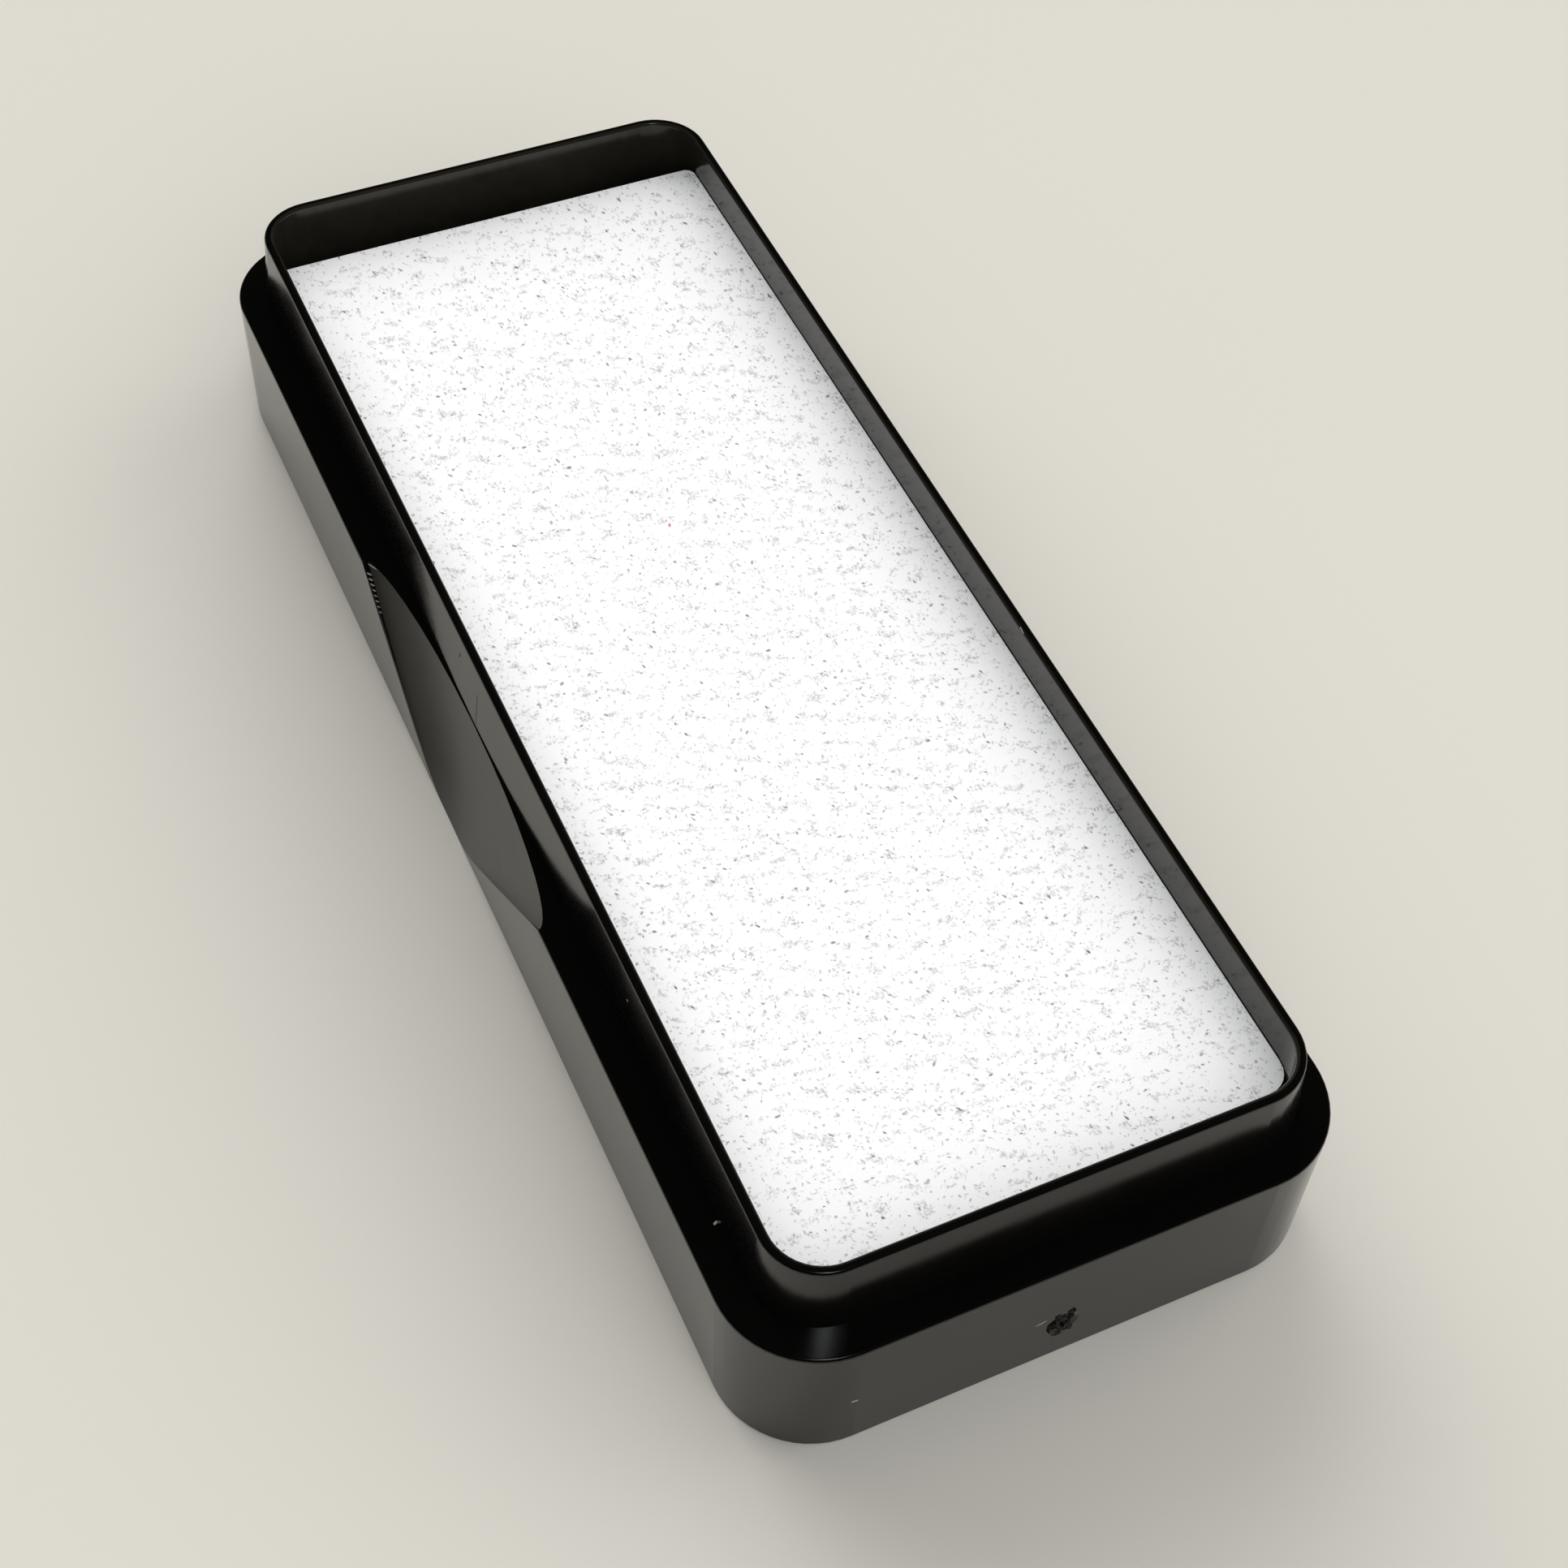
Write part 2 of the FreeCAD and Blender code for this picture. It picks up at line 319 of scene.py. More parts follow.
def torn_stub(name):
    """A patch of flat chips at odd heights and tilts, closed at the back inside the wall."""
    chance = random.Random(SCAR_SEED)
    lowest, highest = SCAR_CHIP_HEIGHTS
    chips = []
    for _ in range(SCAR_CHIPS):
        x = chance.uniform(-1, 1) * SCAR_HALF_WIDTH
        z = chance.uniform(-1, 1) * SCAR_HALF_LENGTH
        tilt_x = chance.uniform(-1, 1) * SCAR_CHIP_TILT
        tilt_z = chance.uniform(-1, 1) * SCAR_CHIP_TILT - SCAR_CHIP_LEAN
        chips.append((x, z, chance.uniform(lowest, highest), tilt_x, tilt_z))
    beside_pit = (3 * SCAR_HALF_WIDTH, 2 * tray_low.y, SCAR_HEIGHT)
    wall, _ = on_tray(beside_pit, (0, 1, 0))
    mesh = bmesh.new()
    across = round(2 * SCAR_HALF_WIDTH / SCAR_STEP)
    along = round(2 * SCAR_HALF_LENGTH / SCAR_STEP)
    points = {}
    for j in range(along + 1):
        for i in range(across + 1):
            x = SCAR_HALF_WIDTH * (2 * i / across - 1)
            z = SCAR_HALF_LENGTH * (2 * j / along - 1)
            reach = math.hypot(x / SCAR_HALF_WIDTH, z / SCAR_HALF_LENGTH)
            ragged = SCAR_OUTLINE + SCAR_RAGGED * noise.noise(Vector((x, z, 0)) / SCAR_RAG_SIZE)
            if reach > ragged:
                continue
            nearest = min(chips, key=lambda c: math.hypot(x - c[0], z - c[1]))
            chip_x, chip_z, chip_height, tilt_x, tilt_z = nearest
            height = chip_height + tilt_x * (x - chip_x) + tilt_z * (z - chip_z)
            height += SCAR_GRAIN * noise.noise(Vector((x, z, SCAR_GRAIN_LAYER)) / SCAR_GRAIN_SIZE)
            height = min(height, highest) - SCAR_EDGE_DROP * max(0.0, reach - ragged + SCAR_EDGE_BAND)
            points[i, j] = mesh.verts.new((x, wall.y - height, SCAR_HEIGHT + z))
    for i, j in points:
        corners = [(i, j), (i + 1, j), (i + 1, j + 1), (i, j + 1)]
        if all(c in points for c in corners):
            mesh.faces.new([points[c] for c in corners])
    loose = [v for v in mesh.verts if not v.link_faces]
    bmesh.ops.delete(mesh, geom=loose, context="VERTS")
    front = mesh.faces[:]
    outline = [e for e in mesh.edges if e.is_boundary]
    roots = {v: mesh.verts.new((v.co.x, wall.y + SCAR_ROOT, v.co.z)) for v in mesh.verts[:]}
    for face in front:
        mesh.faces.new([roots[v] for v in face.verts][::-1])
    for edge in outline:
        first, second = edge.verts
        mesh.faces.new([second, first, roots[first], roots[second]])
    bmesh.ops.recalc_face_normals(mesh, faces=mesh.faces[:])
    return link_mesh(name, mesh)


gate_scar = torn_stub("gate_scar")
gate_scar.data.materials.append(black_gloss("torn_black_plastic", dull=SCAR_DULL))
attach(gate_scar, "tray")


# Cutter marks. A row of fine burrs that the tool left at the far end of the thumb scallop,
# with one loose sliver beside the gate scar. They are the tray's own plastic, raised by a hair,
# and painted pale as a painted highlight for the glints they catch.

BURR_COUNT = 8
BURR_TOP, BURR_BOTTOM = Vector((0, 32.3, 21.1)) * MM, Vector((0, 28.3, 17.35)) * MM
BURR_LIE = Vector((0.5, -0.86, 0))
BURR_SIZE = Vector((0.74, 0.24, 0.10)) * MM
BURR_FIRST, BURR_SHRINK = 1.15, 0.4
LONG_BURR_PLACE = Vector((0, 32.4, 22.15)) * MM
LONG_BURR_SIZE = Vector((2.3, 0.22, 0.10)) * MM
SLIVER_PLACE = Vector((-3.2, 0, 10.4)) * MM
SLIVER_LIE = Vector((1, 0, 0.3))
SLIVER_SIZE = Vector((1.7, 0.22, 0.10)) * MM
BURR_DULL = 0.1
# Painted highlight: how far the burrs are painted pale to stand for the glints they catch
BURR_PAINTED_GLINT = 0.75


def burr(mesh, place, along, facing, size):
    """A small oval lump, half sunk in the face that carries it."""
    facing = facing.normalized()
    side = facing.cross(along).normalized()
    axes = Matrix((side.cross(facing), side, facing)).transposed().to_4x4()
    shape = Matrix.Translation(place) @ axes @ Matrix.Diagonal((size.x / 2, size.y / 2, size.z, 1))
    bmesh.ops.create_icosphere(mesh, subdivisions=2, radius=1.0, matrix=shape)


marks_mesh = bmesh.new()
for step in range(BURR_COUNT):
    share = step / (BURR_COUNT - 1)
    height = BURR_TOP.lerp(BURR_BOTTOM, share)
    place, facing = on_tray((2 * tray_low.x, height.y, height.z), (1, 0, 0))
    burr(marks_mesh, place, BURR_LIE, facing, BURR_SIZE * (BURR_FIRST - BURR_SHRINK * share))
place, facing = on_tray((2 * tray_low.x, LONG_BURR_PLACE.y, LONG_BURR_PLACE.z), (1, 0, 0))
burr(marks_mesh, place, BURR_LIE, facing, LONG_BURR_SIZE)
place, facing = on_tray((SLIVER_PLACE.x, 2 * tray_low.y, SLIVER_PLACE.z), (0, 1, 0))
burr(marks_mesh, place, SLIVER_LIE, facing, SLIVER_SIZE)
cutter_marks = link_mesh("cutter_marks", marks_mesh)
for face in cutter_marks.data.polygons:
    face.use_smooth = True
# The burrs are painted pale, a painted highlight for their glints.
glint_painted_plastic = black_gloss("black_plastic_painted_glint", dull=BURR_DULL, painted_glint=BURR_PAINTED_GLINT)
cutter_marks.data.materials.append(glint_painted_plastic)
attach(cutter_marks, "tray")


# Sponge. A block of open-cell foam cut to the well, lying loose on its floor and soaked in use.
# It is cast with bubbles of many sizes, and the knife has opened them on all its faces.

SPONGE_GRAIN = 0.75 * MM
SPONGE_EDGE = 1.2 * MM
SPONGE_CORNER = 5.0 * MM
SPONGE_SEED = 11
SPONGE_PORES = 7600
SPONGE_PORE_RADIUS = (0.5 * MM, 2.0 * MM)
# The higher this power, the fewer of the pores are large
SPONGE_PORE_POWER = 4
SPONGE_PORE_DEPTH = 0.75
SPONGE_FUZZ = 0.12 * MM
SPONGE_FUZZ_PITCH = 900
SQUARE = math.pi / 2
SQUARE_SLACK = 0.01
FOAM_FACE = (0.76, 0.70, 0.54, 1), (0.84, 0.80, 0.67, 1)
# Painted shade down in the pores, darker and warmer than the faces
FOAM_PORE_SHADE = (0.42, 0.35, 0.22, 1)
FOAM_BLOTCH = 9 * MM
FOAM_BUBBLE = 0.9 * MM
FOAM_BUBBLE_FROM, FOAM_BUBBLE_FULL = 0.15, 0.45
FOAM_BUBBLE_SHADE = 0.35
FOAM_BUBBLE_DEPTH = 0.25 * MM
FOAM_PORE_FROM, FOAM_PORE_FULL = 0.05, 0.6
FOAM_ROUGH = 0.85


def foam_block(name, low, high):
    """A block with rounded corners and edges, its faces divided finely enough to carry pores."""
    mesh = bmesh.new()
    bmesh.ops.create_cube(mesh, size=1.0)
    bmesh.ops.scale(mesh, vec=high - low, verts=mesh.verts)
    bmesh.ops.translate(mesh, vec=(low + high) / 2, verts=mesh.verts)
    upright = [e for e in mesh.edges if abs(e.verts[0].co.z - e.verts[1].co.z) > SPONGE_EDGE]
    bmesh.ops.bevel(mesh, geom=upright, offset=SPONGE_CORNER, segments=8, profile=0.5, affect="EDGES")
    level = [e for e in mesh.edges if abs(e.calc_face_angle(0) - SQUARE) < SQUARE_SLACK]
    bmesh.ops.bevel(mesh, geom=level, offset=SPONGE_EDGE, segments=3, profile=0.5, affect="EDGES")
    block = link_mesh(name, mesh)
    remesh = block.modifiers.new("even_faces", "REMESH")
    remesh.mode = "VOXEL"
    remesh.voxel_size = SPONGE_GRAIN
    fine = bpy.data.meshes.new_from_object(block.evaluated_get(bpy.context.evaluated_depsgraph_get()))
    block.modifiers.clear()
    block.data = fine
    fine.name = name
    return block


def open_pores(block, low, high):
    """Presses round pores into every face of the block and keeps their depth for the painted shade in them.
    """
    chance = random.Random(SPONGE_SEED)
    points = [v.co.copy() for v in block.data.vertices]
    normals = [v.normal.copy() for v in block.data.vertices]
    found = kdtree.KDTree(len(points))
    for index, point in enumerate(points):
        found.insert(point, index)
    found.balance()
    depth = [0.0] * len(points)
    smallest, largest = SPONGE_PORE_RADIUS
    for _ in range(SPONGE_PORES):
        centre = points[chance.randrange(len(points))]
        radius = smallest + (largest - smallest) * chance.random() ** SPONGE_PORE_POWER
        for point, index, distance in found.find_range(centre, radius):
            dent = SPONGE_PORE_DEPTH * radius * math.sqrt(max(0.0, 1 - (distance / radius) ** 2))
            depth[index] = max(depth[index], dent)
    for vertex, point, normal, dent in zip(block.data.vertices, points, normals, depth):
        fuzz = SPONGE_FUZZ * (noise.noise(point * SPONGE_FUZZ_PITCH) + 1)
        moved = point - normal * (dent + fuzz)
        vertex.co = Vector(min(max(m, l), h) for m, l, h in zip(moved, low, high))
    kept = block.data.attributes.new("pore_depth", "FLOAT", "POINT")
    kept.data.foreach_set("value", [d / largest for d in depth])
    block.data.update()
    for face in block.data.polygons:
        face.use_smooth = True


def foam_finish(name):
    """Pale cellulose foam, with painted shade, darker and warmer, down in its pores and in the hollows of
    its bubbles.
    """
    finish, tree, shader = new_finish(name)
    place = wire(tree, "TexCoord").outputs["Object"]
    pore_shade = wire(tree, "Attribute", attribute_name="pore_depth").outputs["Fac"]
    pore_shade = soft_step(tree, pore_shade, FOAM_PORE_FROM, FOAM_PORE_FULL)
    face = tint(tree, cloud(tree, place, FOAM_BLOTCH, detail=3.0), *FOAM_FACE)
    bubbles = {"Vector": place, "Scale": 1 / FOAM_BUBBLE}
    bubbles = wire(tree, "TexVoronoi", bubbles, voronoi_dimensions="3D").outputs["Distance"]
    wall = soft_step(tree, bubbles, FOAM_BUBBLE_FROM, FOAM_BUBBLE_FULL)
    # Painted shade in the hollows of the bubbles and, deepest, down in the pores
    painted_hollow_shade = maths(tree, "MULTIPLY_ADD", wall, -FOAM_BUBBLE_SHADE, FOAM_BUBBLE_SHADE)
    painted_hollow_shade = maths(tree, "MAXIMUM", pore_shade, painted_hollow_shade)
    plug(tree, shader.inputs["Base Color"], tint(tree, painted_hollow_shade, face, FOAM_PORE_SHADE))
    plug(tree, shader.inputs["Normal"], relief(tree, wall, FOAM_BUBBLE_DEPTH))
    shader.inputs["Roughness"].default_value = FOAM_ROUGH
    return finish


sponge_low, sponge_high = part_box("sponge")
sponge = foam_block("foam_sponge", sponge_low, sponge_high)
open_pores(sponge, sponge_low, sponge_high)
sponge.data.materials.append(foam_finish("open_cell_foam"))
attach(sponge, "sponge")
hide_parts("sponge")


# Palette paper. One sheet of absorbent white paper, cut a little smaller than the well and laid damp on
# the sponge. Its pulp is full of short grey fibres, which lie in tufts and the tufts in faint slanting rows.
# The fibres are drawn out along the sheet, most of all towards its far end, and a few are coloured.

PAPER_STEP = 1.2 * MM
PAPER_NEAR_CORNER = 3.45 * MM
PAPER_FAR_CORNER = 1.5 * MM
PAPER_COCKLE = 0.05 * MM
PAPER_COCKLE_PITCH = (40, 25)
PAPER_COCKLE_LAYER = 3.0
PULP_WHITES = (0.945, 0.945, 0.945, 1), (0.97, 0.97, 0.972, 1)
PULP_CLOUD = 14 * MM
PULP_GRAIN = 0.45 * MM
PULP_GRAIN_STRETCH = (2, 1, 1)
PULP_GRAIN_DEPTH = 0.02 * MM
PAPER_ROUGH = 0.62
PAPER_SHINE = 0.35
TUFT_SIZE = 1.5 * MM
TUFT_STRETCH = (1.5, 0.75, 1)
TUFT_FROM, TUFT_FULL = 0.485, 0.64
ROW_PITCH = 2.9 * MM
ROW_SLANT = math.radians(18)
ROW_WAVER, ROW_WAVER_SIZE = 7.0, 9 * MM
# How soft the edge of a row is, and the share of the fibres that keep to the rows
ROW_EDGE = 0.6
ROW_SHARE = 0.80
MATTED_GREY = (0.45, 0.46, 0.46, 1)
MATTED_SIZE = 0.45 * MM
MATTED_FROM, MATTED_FULL = 0.47, 0.72
MATTED_SHARE = 0.8
# Scale of the fibres along the sheet, at its middle and its change per metre: a smaller one draws them out
FIBRE_DRAW, FIBRE_DRAW_GROWTH = 0.70, -1.1
FIBRE_BEND, FIBRE_BEND_SIZE = 0.42 * MM, 0.7 * MM
NOISE_MIDDLE = (0.5, 0.5, 0.5)
FIBRE_TURN, FIBRE_TURN_FROM = 3.0, -1.7
FIBRE_SMALLEST, FIBRE_SPREAD = 0.55, 0.9
FIBRE_FADE, FIBRE_CORE = 1.3, 0.5
# Each kind of fibre: spacing, length and width in millimetres, share of places filled, shift of its places,
# grey, strength, and how much it keeps to the tufts
FIBRES = [
    (0.38, 0.44, 0.19, 0.86, 0.213, 0.47, 0.53, 0.94),
    (0.50, 0.56, 0.20, 0.90, 0.491, 0.40, 0.53, 0.94),
    (0.95, 0.34, 0.20, 0.48, 0.013, 0.33, 0.78, 0.45),
    (1.90, 0.41, 0.21, 0.42, 0.171, 0.16, 0.90, 0.0),
    (4.00, 0.48, 0.23, 0.42, 0.377, 0.06, 0.95, 0.0),
]
COLOURED_SPACING = 12 * MM
COLOURED_LENGTH, COLOURED_WIDTH = 0.34 * MM, 0.24 * MM
COLOURED_SHARE = 0.16
COLOURED_SHIFT = 0.733
COLOURED_SATURATION, COLOURED_BRIGHTNESS = 0.75, 0.45
COLOURED_STRENGTH = 0.85


def rounded_corner(x, y, half_width, half_length, radius):
    """Draws the square corners of a grid in to a round corner."""
    inner_x = math.copysign(half_width - radius, x)
    inner_y = math.copysign(half_length - radius, y)
    out_x, out_y = abs(x) - abs(inner_x), abs(y) - abs(inner_y)
    if out_x <= 0 or out_y <= 0:
        return x, y
    shrink = max(out_x, out_y) / math.hypot(out_x, out_y)
    return inner_x + math.copysign(out_x * shrink, x), inner_y + math.copysign(out_y * shrink, y)


def laid_sheet(name, low, high):
    """A thin closed sheet on a grid, with round corners and a faint cockle on its upper face."""
    middle, half = (low + high) / 2, (high - low) / 2
    across = max(2, round(2 * half.x / PAPER_STEP))
    along = max(2, round(2 * half.y / PAPER_STEP))
    pitch_x, pitch_y = PAPER_COCKLE_PITCH
    mesh = bmesh.new()
    layers = []
    for upper in (False, True):
        rows = []
        for j in range(along + 1):
            row = []
            for i in range(across + 1):
                corner = PAPER_FAR_CORNER if j > along / 2 else PAPER_NEAR_CORNER
                x, y = half.x * (2 * i / across - 1), half.y * (2 * j / along - 1)
                x, y = rounded_corner(x, y, half.x, half.y, corner)
                z = low.z
                if upper:
                    ripple = noise.noise(Vector((x * pitch_x, y * pitch_y, PAPER_COCKLE_LAYER)))
                    z = high.z + PAPER_COCKLE * (ripple - 1)
                row.append(mesh.verts.new((middle.x + x, middle.y + y, z)))
            rows.append(row)
        layers.append(rows)
    for rows, flipped in zip(layers, (True, False)):
        for j in range(along):
            for i in range(across):
                corner = [rows[j][i], rows[j][i + 1], rows[j + 1][i + 1], rows[j + 1][i]]
                mesh.faces.new(corner[::-1] if flipped else corner)
    border = [(0, i) for i in range(across)] + [(j, across) for j in range(along)]
    border += [(along, i) for i in range(across, 0, -1)] + [(j, 0) for j in range(along, 0, -1)]
    under, over = layers
    for (j, i), (next_j, next_i) in zip(border, border[1:] + border[:1]):
        mesh.faces.new([under[j][i], under[next_j][next_i], over[next_j][next_i], over[j][i]])
    return link_mesh(name, mesh)


def tufts(tree, place):
    """How thickly the fibres lie: in small tufts, and the tufts in loose wavy rows across the sheet."""
    tuft = soft_step(tree, cloud(tree, place, TUFT_SIZE, stretch=TUFT_STRETCH), TUFT_FROM, TUFT_FULL)
    slant = (math.sin(ROW_SLANT), math.cos(ROW_SLANT), 0)
    along = measure(tree, "DOT_PRODUCT", place, slant)
    waver = maths(tree, "MULTIPLY", cloud(tree, place, ROW_WAVER_SIZE), ROW_WAVER)
    row = maths(tree, "SINE", maths(tree, "MULTIPLY_ADD", along, 2 * math.pi / ROW_PITCH, waver))
    row = maths(tree, "MULTIPLY_ADD", soft_step(tree, row, -ROW_EDGE, ROW_EDGE), ROW_SHARE, 1 - ROW_SHARE)
    return maths(tree, "MULTIPLY", tuft, row)


def flecks(tree, place, spacing, length, width, share, shift, tufted=0.0):
    """Short fibres, one to a cell, each turned its own way. Gives their mask and their random numbers."""
    shifted = (shift, -shift, 0)
    moved = vectors(tree, "ADD", place, shifted)
    cells = wire(tree, "TexVoronoi", {"Vector": moved, "Scale": 1 / spacing}, voronoi_dimensions="2D")
    middle = cells.outputs["Position"]
    chance = wire(tree, "SeparateColor", {"Color": cells.outputs["Color"]}).outputs
    angle = maths(tree, "MULTIPLY_ADD", chance[1], FIBRE_TURN, FIBRE_TURN_FROM)
    turn = {"Vector": vectors(tree, "SUBTRACT", moved, middle), "Angle": angle}
    turned = wire(tree, "VectorRotate", turn, rotation_type="Z_AXIS").outputs[0]
    size = maths(tree, "MULTIPLY_ADD", chance[2], FIBRE_SPREAD, FIBRE_SMALLEST)
    reach = measure(tree, "LENGTH", vectors(tree, "MULTIPLY", turned, (2 / length, 2 / width, 0)))
    mask = soft_step(tree, maths(tree, "DIVIDE", reach, size), FIBRE_FADE, FIBRE_CORE)
    if tufted:
        thick = tufts(tree, vectors(tree, "SUBTRACT", middle, shifted))
        share = maths(tree, "MULTIPLY_ADD", thick, share * tufted, share * (1 - tufted))
    return maths(tree, "MULTIPLY", mask, maths(tree, "LESS_THAN", chance[0], share)), chance


def drawn_place(tree, place):
    """Where the fibres see each point of the sheet: bent a little at random and drawn out along it."""
    bend = {"Vector": place, "Scale": 1 / FIBRE_BEND_SIZE, "Detail": 1.0}
    bend = vectors(tree, "SUBTRACT", wire(tree, "TexNoise", bend).outputs["Color"], NOISE_MIDDLE)
    bend = wire(tree, "VectorMath", {0: bend, "Scale": FIBRE_BEND}, operation="SCALE").outputs["Vector"]
    parts = wire(tree, "SeparateXYZ", {"Vector": vectors(tree, "ADD", place, bend)}).outputs
    draw = maths(tree, "MULTIPLY_ADD", parts["Y"], FIBRE_DRAW_GROWTH, FIBRE_DRAW)
    drawn = {"X": parts["X"], "Y": maths(tree, "MULTIPLY", parts["Y"], draw)}
    return wire(tree, "CombineXYZ", drawn).outputs[0]


def flecked_paper(name):
    """White absorbent paper with grey fibre flecks."""
    finish, tree, shader = new_finish(name)
    place = wire(tree, "TexCoord").outputs["Object"]
    drawn = drawn_place(tree, place)

    pulp = tint(tree, cloud(tree, place, PULP_CLOUD), *PULP_WHITES)
    matted = soft_step(tree, cloud(tree, drawn, MATTED_SIZE), MATTED_FROM, MATTED_FULL)
    matted = maths(tree, "MULTIPLY", tufts(tree, drawn), matted)
    colour = tint(tree, maths(tree, "MULTIPLY", matted, MATTED_SHARE), pulp, MATTED_GREY)
    for spacing, length, width, share, shift, grey, strength, tufted in FIBRES:
        mask, chance = flecks(tree, drawn, spacing * MM, length * MM, width * MM, share, shift, tufted)
        faint = maths(tree, "MULTIPLY_ADD", chance[1], strength / 2, strength / 2)
        colour = tint(tree, maths(tree, "MULTIPLY", mask, faint), colour, (grey, grey, grey, 1))
    mask, chance = flecks(
        tree, drawn, COLOURED_SPACING, COLOURED_LENGTH, COLOURED_WIDTH, COLOURED_SHARE, COLOURED_SHIFT
    )
    hue = {0: chance[2], 1: COLOURED_SATURATION, 2: COLOURED_BRIGHTNESS}
    hue = wire(tree, "CombineColor", hue, mode="HSV").outputs[0]
    colour = tint(tree, maths(tree, "MULTIPLY", mask, COLOURED_STRENGTH), colour, hue)

    plug(tree, shader.inputs["Base Color"], colour)
    grain = cloud(tree, place, PULP_GRAIN, detail=3.0, stretch=PULP_GRAIN_STRETCH)
    plug(tree, shader.inputs["Normal"], relief(tree, grain, PULP_GRAIN_DEPTH))
    shader.inputs["Roughness"].default_value = PAPER_ROUGH
    shader.inputs["Specular IOR Level"].default_value = PAPER_SHINE
    return finish


paper_low, paper_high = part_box("palette_paper")
paper = laid_sheet("flecked_sheet", paper_low, paper_high)
paper.data.materials.append(flecked_paper("flecked_white_paper"))
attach(paper, "paper")
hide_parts("palette_paper")


# Floor. A plain table top painted in a pale warm grey, quite matt, with the faintest change of tone.
# It is one flat face, far wider than the view, and the tray only stands on it.

FLOOR_HALF = 4.0
FLOOR_GREYS = (0.66, 0.636, 0.578, 1), (0.68, 0.656, 0.598, 1)
FLOOR_CLOUD = 0.25
FLOOR_ROUGH = 0.9
FLOOR_SHINE = 0.1

floor_data = bpy.data.meshes.new("table_top")
floor_square = ((-1, -1), (1, -1), (1, 1), (-1, 1))
floor_corners = [(x * FLOOR_HALF, y * FLOOR_HALF, cad_low.z) for x, y in floor_square]
floor_data.from_pydata(floor_corners, [], [(0, 1, 2, 3)])
floor = bpy.data.objects.new("table_top", floor_data)
bpy.context.scene.collection.objects.link(floor)
floor_finish, floor_tree, floor_shader = new_finish("pale_table")
floor_place = wire(floor_tree, "TexCoord").outputs["Object"]
floor_colour = tint(floor_tree, cloud(floor_tree, floor_place, FLOOR_CLOUD), *FLOOR_GREYS)
plug(floor_tree, floor_shader.inputs["Base Color"], floor_colour)
floor_shader.inputs["Roughness"].default_value = FLOOR_ROUGH
floor_shader.inputs["Specular IOR Level"].default_value = FLOOR_SHINE
floor_data.materials.append(floor_finish)


# Light. Soft studio light: a white tent, brightest low down behind the tray, and one small lamp overhead.
# The tent lights the sheet and the table but is not mirrored, so that black faces which look up stay black,
# as they do in a dim room. A low view meets it in the tone of the table.

TENT_DIM = 0.17
# Each patch of the tent: bearing, height, full out to, gone at, all in degrees, and its brightness
TENT_PATCHES = [(90, 15, 10, 48, 4.8), (0, 22, 10, 50, 1.57), (-90, 25, 10, 50, 1.6)]
TENT_COLOUR = (0.99, 0.985, 0.972, 1)
BACKDROP_COLOUR = (0.687, 0.663, 0.597, 1)
BACKDROP_STRENGTH = 1.0
LAMP_BEARING = (-93, 72)
LAMP_DISTANCE = 1.5
LAMP_COLOUR = (0.92, 1.0, 1.1)
# Three discs in one make the lamp fade towards its edge: width in metres and brightness of each
LAMP_DISCS = [(0.14, 4.0), (0.25, 3.5), (0.36, 3.0)]
LAMP_DISC_GAP = 1 * MM


def bearing(azimuth, elevation):
    """The direction from the tray to a place given by its bearing and height, in degrees."""
    turn, rise = math.radians(azimuth), math.radians(elevation)
    return Vector((math.cos(rise) * math.cos(turn), math.cos(rise) * math.sin(turn), math.sin(rise)))


def patch(sky, outwards, azimuth, elevation, full, gone):
    """A soft round patch of the tent."""
    near = measure(sky, "DOT_PRODUCT", outwards, bearing(azimuth, elevation))
    return soft_step(sky, near, math.cos(math.radians(gone)), math.cos(math.radians(full)))


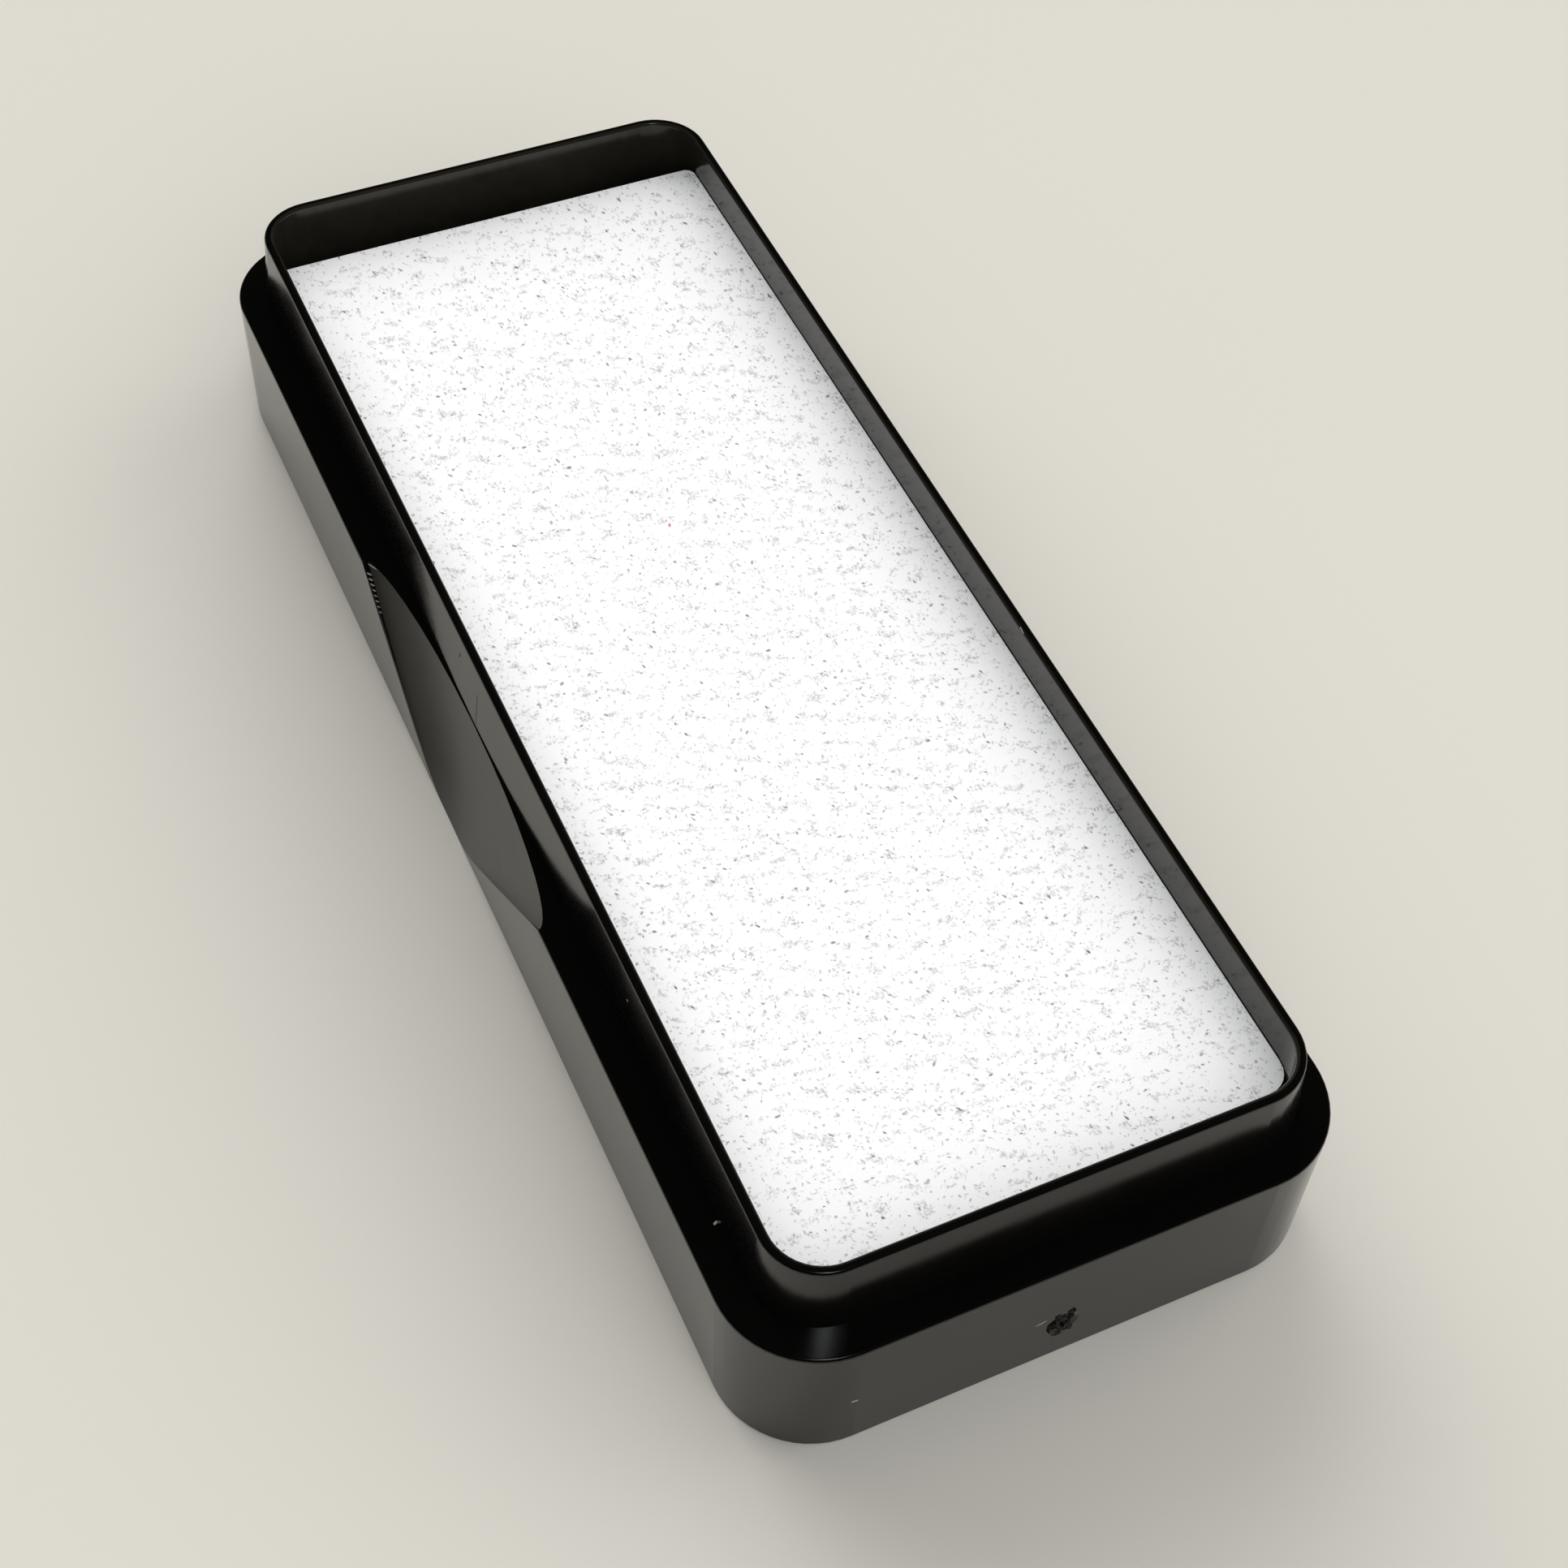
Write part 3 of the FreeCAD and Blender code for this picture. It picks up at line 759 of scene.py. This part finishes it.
tent = bpy.data.worlds.new("white_tent")
tent.use_nodes = True
bpy.context.scene.world = tent
tent.cycles_visibility.glossy = False
sky = tent.node_tree
outwards = wire(sky, "TexCoord").outputs["Generated"]
brightness = TENT_DIM
for azimuth, elevation, full, gone, amount in TENT_PATCHES:
    lit = patch(sky, outwards, azimuth, elevation, full, gone)
    brightness = maths(sky, "MULTIPLY_ADD", lit, amount, brightness)
seen = wire(sky, "LightPath").outputs["Is Camera Ray"]
shown = wire(sky, "Mix", {0: seen, 2: brightness, 3: BACKDROP_STRENGTH}, data_type="FLOAT").outputs[0]
plug(sky, sky.nodes["Background"].inputs["Strength"], shown)
plug(sky, sky.nodes["Background"].inputs["Color"], tint(sky, seen, TENT_COLOUR, BACKDROP_COLOUR))

for count, (width, amount) in enumerate(LAMP_DISCS):
    lamp_light = bpy.data.lights.new(f"overhead_lamp_{count}", "AREA")
    lamp_light.shape = "DISK"
    lamp_light.size = width
    lamp_light.energy = amount * math.pi * math.pi * width**2 / 4
    lamp_light.color = LAMP_COLOUR
    lamp = bpy.data.objects.new(f"overhead_lamp_{count}", lamp_light)
    lamp.location = bearing(*LAMP_BEARING) * (LAMP_DISTANCE - count * LAMP_DISC_GAP)
    lamp.rotation_euler = bearing(*LAMP_BEARING).to_track_quat("Z", "Y").to_euler()
    bpy.context.scene.collection.objects.link(lamp)


# Camera. A view over the near end from the left, held by hand and so a little rolled, as in the photograph.
# Its place, lens and shift are those that make the edges of the tray fall as they do there.

EYE = Vector((-98.9, -214.2, 291.3)) * MM
AIM = Vector((0.30249, 0.55046, -0.77816))
ROLL = math.radians(4.82)
SENSOR_WIDTH = 36.0
FOCAL_LENGTH = 60.17
SHIFT_ACROSS, SHIFT_UP = -0.0328, -0.0137

lens = bpy.data.cameras.new("view")
lens.sensor_width = SENSOR_WIDTH
lens.lens = FOCAL_LENGTH
lens.shift_x = SHIFT_ACROSS
lens.shift_y = SHIFT_UP
camera = bpy.data.objects.new("view", lens)
pointed = AIM.to_track_quat("-Z", "Y").to_matrix().to_4x4()
camera.matrix_world = Matrix.Translation(EYE) @ pointed @ Matrix.Rotation(ROLL, 4, "Z")
bpy.context.scene.collection.objects.link(camera)
bpy.context.scene.camera = camera
bpy.context.scene.view_settings.view_transform = "Standard"
